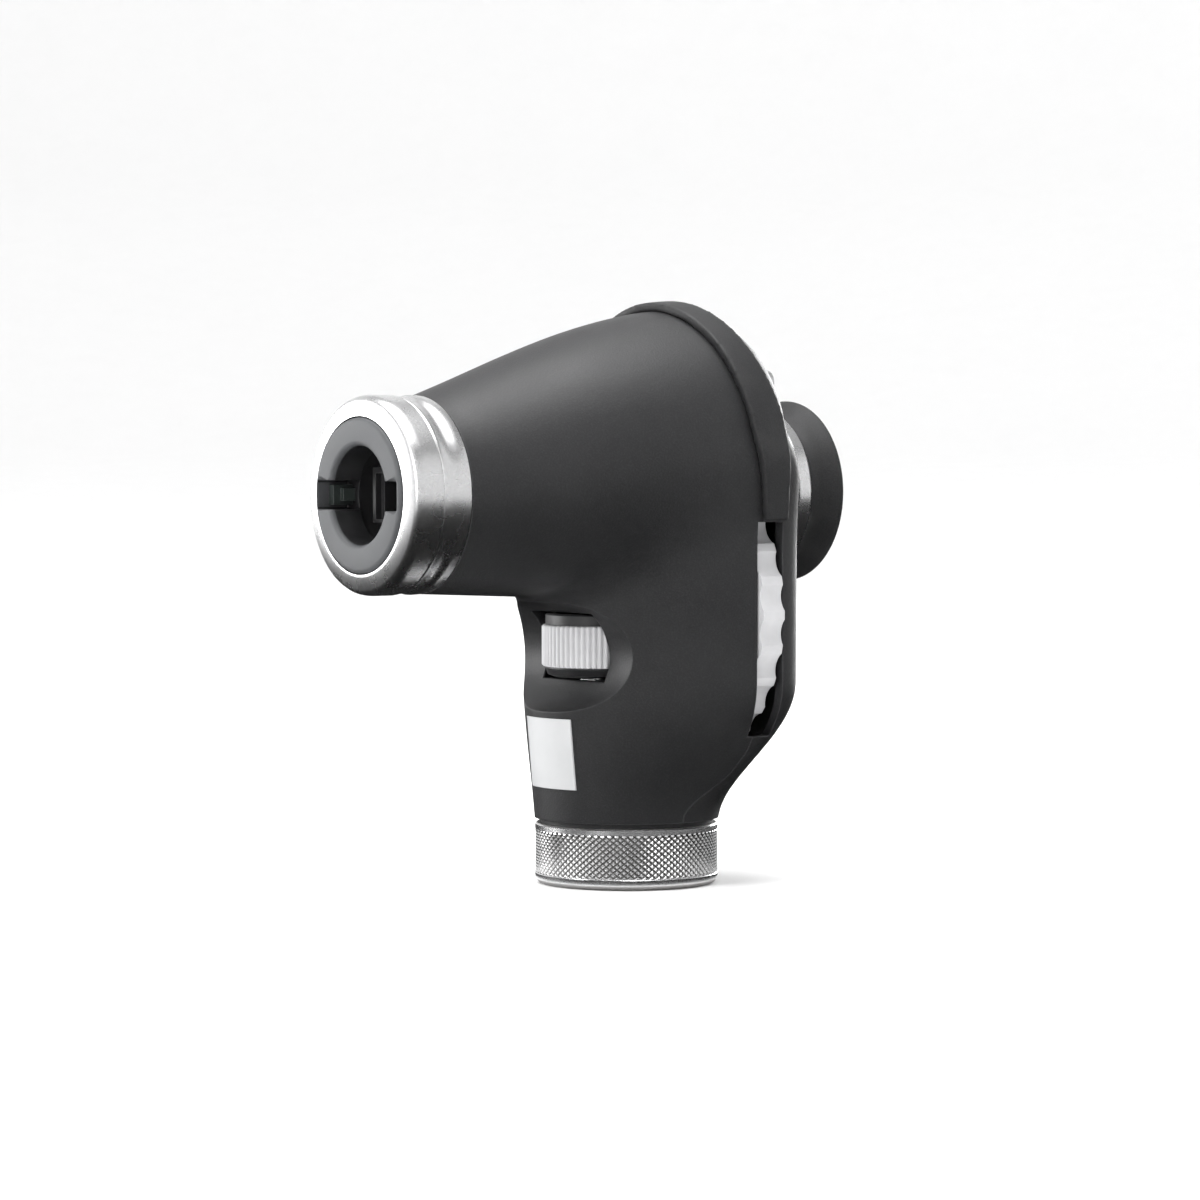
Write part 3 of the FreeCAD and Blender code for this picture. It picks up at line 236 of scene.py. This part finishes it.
# ---------------------------------------------------------------- finishes
def body_plastic():
    """Near-black moulded plastic with a fine spark-eroded texture."""
    made = Surface("spark_textured_black_plastic", (0.012, 0.012, 0.013), 0.5)
    made.shader.inputs["Specular IOR Level"].default_value = 0.4
    worn = made.soft_edges(0.00035)
    patches = made.noise(55, 4)
    grain = made.noise(3600, 2, 0.6)
    pits = made.cells(2300)
    base = made.blend(made.between(patches, 0, 1), (0.009, 0.009, 0.01), (0.014, 0.014, 0.015))
    flecked = made.blend(made.between(grain, 0.0, 0.35, 0.45, 0.8), base, (0.036, 0.036, 0.038))
    made.colour(made.blend(made.between(worn, 0, 0.35, 0, 1), flecked, (0.11, 0.11, 0.115)))
    made.roughness(made.between(patches, 0.47, 0.56))
    made.relief(grain, 0.00006, 0.55)
    made.relief(pits, 0.00003, 0.4)
    return made.material


def soft_rubber():
    """Matt black rubber, faintly dusty."""
    made = Surface("matt_black_rubber", (0.016, 0.016, 0.017), 0.6)
    made.shader.inputs["Specular IOR Level"].default_value = 0.32
    dust = made.noise(160, 5, 0.65)
    grain = made.noise(5200, 2)
    base = made.blend(made.between(grain, 0, 1, 0.35, 0.75), (0.012, 0.012, 0.013), (0.022, 0.022, 0.023))
    made.colour(made.blend(made.between(dust, 0, 0.3, 0.5, 0.8), base, (0.045, 0.044, 0.043)))
    made.roughness(made.between(dust, 0.5, 0.66))
    made.relief(grain, 0.00004, 0.5)
    return made.material


def satin_chrome():
    """Blasted and plated brass: bright, softly speckled, with faint turning lines."""
    made = Surface("satin_chrome_plate", (0.82, 0.82, 0.825), 0.24, 1.0)
    speckle = made.noise(4200, 2, 0.7)
    cloud = made.noise(240, 4)
    base = made.blend(made.between(speckle, 0, 1, 0.35, 0.7), (0.6, 0.6, 0.605), (0.72, 0.72, 0.725))
    made.colour(made.blend(made.between(cloud, 0, 0.3), base, (0.66, 0.66, 0.67)))
    made.roughness(made.between(cloud, 0.26, 0.29))
    made.relief(speckle, 0.00002, 0.25)
    lines = made.noise(1, 3, 0.6, made.stretched((2600, 60, 60)))
    made.relief(lines, 0.00002, 0.12)
    return made.material


def knurled_chrome(groove_radius, top_radius):
    """Satin plate whose grooves, nearer the ring's axis, are darkened with painted shade."""
    made = Surface("knurled_satin_chrome", (0.8, 0.8, 0.8), 0.26, 1.0)
    flat = made.stretched((1, 1, 0))
    reach = made.nodes.new("ShaderNodeVectorMath")
    reach.operation = "LENGTH"
    made.links.new(flat, reach.inputs[0])
    low = groove_radius + 0.15 * (top_radius - groove_radius)
    high = groove_radius + 0.75 * (top_radius - groove_radius)
    out_of_groove_shade = made.between(reach.outputs["Value"], 0, 1, low, high)
    speckle = made.noise(4200, 2, 0.7)
    plate = made.blend(made.between(speckle, 0, 1, 0.35, 0.7), (0.72, 0.72, 0.725), (0.88, 0.88, 0.885))
    # The grooves take a dark colour: painted shade in the hollows of the knurl.
    made.colour(made.blend(out_of_groove_shade, (0.3, 0.295, 0.29), plate))
    made.roughness(made.between(out_of_groove_shade, 0.5, 0.24, 0, 1))
    made.relief(speckle, 0.00002, 0.3)
    return made.material


def grey_plastic():
    """Satin dark-grey moulding."""
    made = Surface("satin_grey_moulding", (0.085, 0.087, 0.092), 0.5)
    made.shader.inputs["Specular IOR Level"].default_value = 0.3
    worn = made.soft_edges(0.0003)
    cloud = made.noise(120, 3)
    grain = made.noise(4200, 2)
    base = made.blend(made.between(cloud, 0, 1), (0.055, 0.057, 0.06), (0.072, 0.074, 0.078))
    made.colour(made.blend(made.between(worn, 0, 0.4, 0, 1), base, (0.2, 0.2, 0.21)))
    made.roughness(made.between(cloud, 0.48, 0.58))
    made.relief(grain, 0.00003, 0.4)
    return made.material


def black_plastic():
    """Matt black moulding for drums and baffles."""
    made = Surface("matt_black_moulding", (0.014, 0.014, 0.015), 0.42)
    worn = made.soft_edges(0.0002)
    cloud = made.noise(200, 3)
    grain = made.noise(5000, 2)
    base = made.blend(made.between(cloud, 0, 1), (0.011, 0.011, 0.012), (0.02, 0.02, 0.021))
    made.colour(made.blend(made.between(worn, 0, 0.4, 0, 1), base, (0.12, 0.12, 0.12)))
    made.roughness(made.between(cloud, 0.34, 0.5))
    made.relief(grain, 0.00002, 0.35)
    return made.material


def catch_plastic():
    """Greenish-grey sprung tabs."""
    made = Surface("greenish_grey_tab", (0.045, 0.055, 0.052), 0.4)
    worn = made.soft_edges(0.0002)
    flow = made.noise(1, 2, 0.5, made.stretched((300, 1500, 300)))
    base = made.blend(made.between(flow, 0, 1), (0.02, 0.026, 0.024), (0.032, 0.04, 0.037))
    made.colour(made.blend(made.between(worn, 0, 0.5, 0, 1), base, (0.12, 0.135, 0.13)))
    made.roughness(made.between(flow, 0.34, 0.48))
    made.relief(flow, 0.00002, 0.4)
    return made.material


def label_film():
    """Blank white label with the faint orange peel of printed film."""
    made = Surface("white_label_film", (0.78, 0.785, 0.79), 0.38)
    peel = made.noise(1400, 2)
    cloud = made.noise(90, 3)
    made.colour(made.blend(made.between(cloud, 0, 1), (0.42, 0.425, 0.43), (0.47, 0.475, 0.48)))
    made.roughness(made.between(cloud, 0.32, 0.44))
    made.relief(peel, 0.00002, 0.3)
    return made.material


def light_plastic():
    """Light grey thumb-wheel plastic with a dry satin grain."""
    made = Surface("light_grey_thumb_plastic", (0.6, 0.6, 0.61), 0.5)
    worn = made.soft_edges(0.00025)
    cloud = made.noise(150, 4)
    grain = made.noise(3800, 2)
    base = made.blend(made.between(cloud, 0, 1), (0.42, 0.42, 0.43), (0.5, 0.5, 0.51))
    made.colour(made.blend(made.between(worn, 0, 0.4, 0, 1), base, (0.68, 0.68, 0.685)))
    made.roughness(made.between(cloud, 0.44, 0.56))
    made.relief(grain, 0.00003, 0.4)
    return made.material


def black_aluminium():
    """Black anodised turnings with fine tool lines."""
    made = Surface("black_anodised_turning", (0.022, 0.022, 0.024), 0.36, 0.6)
    lines = made.noise(1, 3, 0.6, made.stretched((3200, 80, 80)))
    cloud = made.noise(180, 3)
    made.colour(made.blend(made.between(cloud, 0, 1), (0.018, 0.018, 0.02), (0.034, 0.034, 0.037)))
    made.roughness(made.between(lines, 0.3, 0.44))
    made.relief(lines, 0.00002, 0.4)
    return made.material


def glass(name, colour, roughness=0.01):
    """Clear or coloured glass with a faint coating mottle."""
    made = Surface(name, colour, roughness)
    made.shader.inputs["Transmission Weight"].default_value = 1.0
    made.shader.inputs["IOR"].default_value = 1.5
    mottle = made.noise(300, 2)
    deep = tuple(0.9 * part for part in colour)
    made.colour(made.blend(made.between(mottle, 0, 1), deep, colour))
    made.roughness(made.between(mottle, roughness, roughness + 0.015))
    return made.material


def metal(name, dark, bright, rough, scale=(700, 700, 2600)):
    """Machined metal with tool lines and a little staining."""
    made = Surface(name, bright, rough, 1.0)
    lines = made.noise(1, 3, 0.6, made.stretched(scale))
    stain = made.noise(260, 4)
    base = made.blend(made.between(lines, 0, 1), dark, bright)
    stained = tuple(0.75 * part for part in bright)
    made.colour(made.blend(made.between(stain, 0, 0.4, 0.5, 0.8), base, stained))
    made.roughness(made.between(stain, rough - 0.06, rough + 0.08))
    made.relief(lines, 0.00002, 0.3)
    return made.material


def solder_mask():
    """Green board with faint copper tracks under the mask."""
    made = Surface("green_solder_mask", (0.03, 0.17, 0.07), 0.3)
    tracks = made.nodes.new("ShaderNodeTexWave")
    tracks.inputs["Scale"].default_value = 260
    tracks.inputs["Distortion"].default_value = 1.5
    made.links.new(made.place, tracks.inputs["Vector"])
    band = made.between(tracks.outputs["Fac"], 0, 1, 0.55, 0.6)
    made.colour(made.blend(band, (0.02, 0.14, 0.055), (0.05, 0.25, 0.1)))
    made.relief(band, 0.00003, 0.5)
    return made.material


def lamp_dome():
    """Pale yellow encapsulant over the lamp chip."""
    made = Surface("lamp_dome_resin", (0.95, 0.93, 0.8), 0.08)
    made.shader.inputs["Transmission Weight"].default_value = 0.6
    haze = made.noise(900, 3)
    made.colour(made.blend(made.between(haze, 0, 1), (0.9, 0.86, 0.66), (0.97, 0.95, 0.84)))
    made.roughness(made.between(haze, 0.05, 0.16))
    return made.material


def insulator_plastic():
    """Cream insulating plastic with moulding flow marks."""
    made = Surface("cream_insulator", (0.74, 0.7, 0.6), 0.4)
    flow = made.noise(1, 4, 0.6, made.stretched((400, 400, 1600)))
    made.colour(made.blend(made.between(flow, 0, 1), (0.68, 0.64, 0.54), (0.78, 0.74, 0.65)))
    made.roughness(made.between(flow, 0.34, 0.48))
    made.relief(flow, 0.00002, 0.3)
    return made.material


FINISHES = {
    "body_plastic": body_plastic(),
    "soft_rubber": soft_rubber(),
    "satin_chrome": satin_chrome(),
    "grey_plastic": grey_plastic(),
    "black_plastic": black_plastic(),
    "catch_plastic": catch_plastic(),
    "label": label_film(),
    "light_plastic": light_plastic(),
    "black_aluminium": black_aluminium(),
    "optical_glass": glass("coated_lens_glass", (0.93, 0.97, 0.99)),
    "filter_glass": glass("green_filter_glass", (0.2, 0.7, 0.35)),
    "mirror_glass": metal("front_silvered_mirror", (0.88, 0.88, 0.89), (0.94, 0.94, 0.95), 0.08,
                          (300, 300, 300)),
    "steel": metal("ground_steel", (0.46, 0.46, 0.47), (0.66, 0.66, 0.67), 0.28),
    "brass": metal("machined_brass", (0.6, 0.44, 0.18), (0.8, 0.62, 0.3), 0.26),
    "bare_aluminium": metal("machined_aluminium", (0.68, 0.68, 0.69), (0.84, 0.84, 0.85), 0.3),
    "board": solder_mask(),
    "lamp_dome": lamp_dome(),
    "insulator_plastic": insulator_plastic(),
}


def finish_frame_nodes():
    """Every carried-over node gets the finish of its own slot."""
    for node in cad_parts.values():
        for place in node.material_slots:
            place.material = FINISHES[place.name.split(".")[0]]


# ---------------------------------------------------------------- turned nose
def nose_axis():
    low, high = box_mm("nose_ring")
    return Vector((0, 0, (low.z + high.z) / 2))


def turned_nose_ring():
    """Bright ring on the nose: a rounded face, a wide band, a fine groove and a shallow hollow."""
    low, high = box_mm("nose_ring")
    front, back = low.x, high.x
    outer = (high.z - low.z) / 2
    bore = box_mm("nose_insert")[1].y + 0.1
    shell_end = front + 10.9
    seat = outer - 2.05
    profile = [
        (front, bore), (front + 0.08, bore + 0.5), (front + 0.4, outer - 0.95), (front + 0.75, outer - 0.45),
        (front + 1.25, outer - 0.14), (front + 1.9, outer - 0.02), (front + 2.6, outer),
        (front + 5.35, outer), (front + 5.45, outer - 0.3), (front + 5.65, outer - 0.3),
        (front + 5.75, outer - 0.1), (front + 6.3, outer - 0.16), (front + 7.1, outer - 0.4),
        (front + 8.0, outer - 0.42), (front + 8.8, outer - 0.2), (front + 9.3, outer - 0.02),
        (shell_end - 0.2, outer - 0.08), (shell_end, outer - 0.3), (shell_end, seat), (back, seat),
        (back, bore)]
    bm = lathe(profile, ALONG_X, nose_axis(), 192)
    round_edges(bm, 0.06, 2, 50)
    return finish_piece(bm, "turned_nose_ring", "head", "satin_chrome", ["nose_ring"])


def slotted_insert():
    """Grey insert with a rounded mouth and two slots for the patient eyecup's lugs."""
    low, high = box_mm("nose_insert")
    catch_high = box_mm("slot_catches")[1]
    axis = nose_axis()
    outer = high.y
    bore = 7.9
    step_x = low.x + 5.8
    step = 0.5
    lip = 0.8
    profile = [
        (low.x + lip, bore), (low.x + 0.25, bore + 0.25), (low.x, bore + lip), (low.x, outer - lip),
        (low.x + 0.25, outer - 0.25), (low.x + lip, outer), (high.x, outer), (high.x, bore + step),
        (step_x, bore + step), (step_x, bore)]
    bm = lathe(profile, ALONG_X, axis, 160)
    round_edges(bm, 0.1, 2, 40)
    slot_depth = catch_high.x + 0.05
    half_height = 2.35
    reach = catch_high.y + 0.05
    slot = block((low.x - 1, slot_depth), (-reach, reach), (axis.z - half_height, axis.z + half_height))
    round_edges(slot, 0.35, 3)
    bm = cut_away(bm, [slot])
    # Faces inside the mouth, the bore and the slots take the black finish: painted shade in the hollow of
    # the grey insert.
    for face in bm.faces:
        middle = face.calc_center_median()
        from_axis = math.hypot(middle.y, middle.z - axis.z)
        if middle.x > low.x + lip + 0.2 and from_axis < outer - 0.3:
            face.material_index = 1
    piece = finish_piece(bm, "slotted_insert", "head", "grey_plastic", ["nose_insert"])
    piece.data.materials.append(FINISHES["black_plastic"])
    return piece


# ---------------------------------------------------------------- base ring
def knurled_grip_ring():
    """Base ring: plain lands above and below a band of flat-topped diamonds."""
    low, high = box_mm("knurled_ring")
    outer = high.y
    inner = 13.3
    diamonds_round = 80
    diamond_rows = 7
    depth = 0.34
    columns = diamonds_round * 4
    rows = diamond_rows * 4
    heights = (0.0, 0.8, 1.0, 0.8)
    band_low, band_high = low.z + 2.0, low.z + 8.8
    pitch = (band_high - band_low) / rows
    floor_radius = outer - depth
    profile = [(low.z, inner), (low.z, outer - 1.0), (low.z + 0.3, outer - 0.45),
               (low.z + 0.9, outer - 0.05), (low.z + 1.7, outer), (low.z + 1.8, outer - 0.1)]
    profile += [(band_low + pitch * row, floor_radius) for row in range(rows + 1)]
    profile += [(band_high + 0.2, outer - 0.1), (band_high + 0.3, outer), (high.z - 0.25, outer),
                (high.z, outer - 0.3), (high.z, inner)]
    bm = lathe(profile, UP, Vector((0, 0, 0)), columns)
    grooves = []
    for vert in bm.verts:
        radius = math.hypot(vert.co.x, vert.co.y)
        if abs(radius - floor_radius) > 0.01 or not band_low - 0.01 < vert.co.z < band_high + 0.01:
            continue
        row = round((vert.co.z - band_low) / pitch)
        column = round(math.atan2(vert.co.y, vert.co.x) / FULL_TURN * columns)
        height = min(heights[(column + row) % 4], heights[(column - row) % 4])
        if height == 0.0:
            grooves.append(vert)
        swell = (floor_radius + (depth - 0.02) * height) / radius
        vert.co.x *= swell
        vert.co.y *= swell
    bmesh.ops.connect_verts(bm, verts=grooves)
    piece = finish_piece(bm, "knurled_grip_ring", "head", "satin_chrome", ["knurled_ring"], flats=False,
                         crisp=24)
    piece.data.materials[0] = knurled_chrome(floor_radius * MM, outer * MM)
    return piece


# ---------------------------------------------------------------- aperture dial
def ribbed_thumb_band():
    """Light band with rounded upright ribs, turned by a fingertip."""
    low, high = box_mm("aperture_dial")
    ribs = 60
    steps_per_rib = 8
    radius = (high.y - low.y) / 2
    inner = radius - 2.1
    chamfer = 0.3
    valley = 0.5
    centre = Vector(((low.x + high.x) / 2, 0, 0))
    profile = [(low.z, inner), (low.z, radius - chamfer), (low.z + chamfer, radius),
               (high.z - chamfer, radius), (high.z, radius - chamfer), (high.z, inner)]
    bm = lathe(profile, UP, centre, ribs * steps_per_rib)
    for vert in bm.verts:
        offset = vert.co - centre
        reach = math.hypot(offset.x, offset.y)
        if reach < radius - chamfer - 0.01:
            continue
        turn = math.atan2(offset.y, offset.x) * ribs
        swell = abs(math.cos(turn / 2)) ** 0.7
        shrink = (reach - valley * (1 - swell)) / reach
        vert.co.x = centre.x + offset.x * shrink
        vert.co.y = offset.y * shrink
    return finish_piece(bm, "ribbed_thumb_band", "aperture_dial", "light_plastic", ["aperture_dial"])


# ---------------------------------------------------------------- eyepiece
def eyepiece_centre():
    low, high = box_mm("eyepiece_ring")
    return Vector((0, 0, (low.z + high.z) / 2))


def bright_eyepiece_ring():
    """Plain ring with a wide chamfer towards the eye."""
    low, high = box_mm("eyepiece_ring")
    outer = high.y
    inner = 11.05
    profile = [(low.x, inner), (low.x, outer - 0.5), (low.x + 0.5, outer), (high.x - 0.9, outer),
               (high.x, outer - 0.9), (high.x, inner)]
    bm = lathe(profile, ALONG_X, eyepiece_centre(), 128)
    round_edges(bm, 0.2, 3)
    return finish_piece(bm, "bright_eyepiece_ring", "head", "satin_chrome", ["eyepiece_ring"])


def flared_eyecup():
    """Soft cup: a narrow foot, a flared wall and a rolled rim."""
    low, high = box_mm("eyecup")
    x0, x1 = low.x, high.x
    rim = high.y
    profile = [(x0, 9.6), (x0, 12.3), (x0 + 0.9, 12.5), (x0 + 1.7, 12.9), (x0 + 2.7, 13.9),
               (x0 + 3.6, rim - 0.6),
               (x0 + 4.3, rim - 0.08), (x0 + 4.8, rim), (x1 - 0.25, rim - 0.1), (x1, rim - 0.45),
               (x1 - 0.2, rim - 0.95), (x0 + 4.2, rim - 2.0), (x0 + 3.2, rim - 3.1), (x0 + 2.2, 10.6),
               (x0 + 1.5, 9.8)]
    bm = lathe(profile, ALONG_X, eyepiece_centre(), 96)
    piece = finish_piece(bm, "flared_eyecup", "head", "soft_rubber", ["eyecup"], flats=False)
    smooth = piece.modifiers.new("soft", "SUBSURF")
    smooth.levels = 2
    smooth.render_levels = 2
    return piece


# ---------------------------------------------------------------- brow rest
def moulded_brow_rest():
    """Rubber arch whose edges are rounded over, made from its frame node."""
    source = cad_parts["brow_rest"]
    bm = bmesh.new()
    bm.from_mesh(source.data)
    bmesh.ops.scale(bm, vec=(1 / MM, 1 / MM, 1 / MM), verts=bm.verts)
    bmesh.ops.remove_doubles(bm, verts=bm.verts, dist=0.0005)
    piece = finish_piece(bm, "moulded_brow_rest", "head", "soft_rubber", ["brow_rest"], flats=False)
    grid = piece.modifiers.new("even_skin", "REMESH")
    grid.mode = "VOXEL"
    grid.voxel_size = 0.00032
    grid.use_smooth_shade = True
    ease = piece.modifiers.new("rounded_over", "SMOOTH")
    ease.factor = 0.5
    ease.iterations = 6
    return piece


# ---------------------------------------------------------------- stage
def studio_floor():
    """A pale round floor that sweeps up into a wall all round, with no corner."""
    bm = bmesh.new()
    profile = [(0.0, 0.0), (0.5, 0.0), (1.4, 0.0), (1.9, 0.06), (2.3, 0.25), (2.6, 0.6), (2.7, 1.2),
               (2.7, 2.2)]
    sunk = 0.00002
    points = [bm.verts.new((radius, 0, height - sunk)) for radius, height in profile]
    edges = [bm.edges.new(pair) for pair in zip(points, points[1:])]
    bmesh.ops.spin(bm, geom=points + edges, cent=(0, 0, 0), axis=UP, angle=FULL_TURN, steps=96,
                   use_merge=True)
    bmesh.ops.remove_doubles(bm, verts=bm.verts, dist=0.00001)
    for face in bm.faces:
        face.smooth = True
        if face.normal.z < 0:
            face.normal_flip()
    mesh = bpy.data.meshes.new("studio_floor")
    bm.to_mesh(mesh)
    bm.free()
    pale = Surface("pale_floor_paper", (0.9, 0.9, 0.9), 0.9)
    pale.shader.inputs["Specular IOR Level"].default_value = 0.1
    pale.shader.inputs["Emission Color"].default_value = (1, 1, 1, 1)
    pale.shader.inputs["Emission Strength"].default_value = 0.04
    fibre = pale.noise(60, 4)
    pale.colour(pale.blend(pale.between(fibre, 0, 1), (0.895, 0.895, 0.895), (0.91, 0.91, 0.91)))
    mesh.materials.append(pale.material)
    floor = bpy.data.objects.new("studio_floor", mesh)
    bpy.context.scene.collection.objects.link(floor)


def softbox(name, place, size, watts, aim=(0, 0, 0.05)):
    """A rectangular studio light that points at the object."""
    light = bpy.data.lights.new(name, "AREA")
    light.shape = "RECTANGLE"
    light.size, light.size_y = size
    light.energy = watts
    lamp = bpy.data.objects.new(name, light)
    lamp.location = place
    lamp.rotation_mode = "QUATERNION"
    lamp.rotation_quaternion = (Vector(aim) - Vector(place)).to_track_quat("-Z", "Y")
    bpy.context.scene.collection.objects.link(lamp)


def black_flag():
    """A black card ring round the foot of the set that shows only in reflections."""
    bm = bmesh.new()
    inner_radius, outer_radius = 0.017, 0.62
    lift = 0.0005
    points = [bm.verts.new((radius, 0, lift)) for radius in (inner_radius, outer_radius)]
    edge = bm.edges.new(points)
    bmesh.ops.spin(bm, geom=points + [edge], cent=(0, 0, 0), axis=UP, angle=FULL_TURN, steps=64,
                   use_merge=True)
    mesh = bpy.data.meshes.new("black_flag")
    bm.to_mesh(mesh)
    bm.free()
    card = Surface("black_card", (0.01, 0.01, 0.01), 1.0)
    card.shader.inputs["Specular IOR Level"].default_value = 0.0
    mesh.materials.append(card.material)
    flag = bpy.data.objects.new("black_flag", mesh)
    flag.visible_camera = False
    flag.visible_shadow = False
    flag.visible_diffuse = False
    flag.visible_transmission = False
    bpy.context.scene.collection.objects.link(flag)


def studio_light():
    world = bpy.data.worlds.new("even_room_light")
    world.use_nodes = True
    room = world.node_tree.nodes["Background"]
    room.inputs["Color"].default_value = (1, 1, 1, 1)
    room.inputs["Strength"].default_value = 0.36
    bpy.context.scene.world = world
    bpy.context.scene.view_settings.view_transform = "Standard"
    softbox("overhead", (-0.2, 0.05, 0.85), (0.7, 0.9), 12)
    softbox("left_front", (-1.0, -0.35, 0.35), (0.4, 0.6), 3)
    softbox("nose_side", (-0.65, 0.85, 0.12), (0.6, 0.5), 8)
    softbox("right_rear", (1.0, 0.5, 0.14), (0.5, 0.6), 10)
    softbox("room_fill", (0.0, 0.0, 2.6), (3.0, 3.0), 42)


def camera():
    """A long lens, a little above the object and ahead of its left side."""
    azimuth = math.radians(-36.4)
    elevation = math.radians(2.35)
    distance = 0.698
    aim = Vector((-3.53, 2.6, 46.95)) * MM
    back = Vector((math.sin(azimuth) * math.cos(elevation), -math.cos(azimuth) * math.cos(elevation),
                   math.sin(elevation)))
    lens = bpy.data.cameras.new("view")
    lens.lens = 126
    lens.sensor_width = 36
    lens.clip_start = 0.01
    lens.clip_end = 20
    eye = bpy.data.objects.new("view", lens)
    eye.location = aim + back * distance
    eye.rotation_mode = "QUATERNION"
    eye.rotation_quaternion = (-back).to_track_quat("-Z", "Y")
    bpy.context.scene.collection.objects.link(eye)
    bpy.context.scene.camera = eye


camera()
studio_light()
studio_floor()
black_flag()
finish_frame_nodes()
turned_nose_ring()
slotted_insert()
knurled_grip_ring()
ribbed_thumb_band()
bright_eyepiece_ring()
flared_eyecup()
moulded_brow_rest()
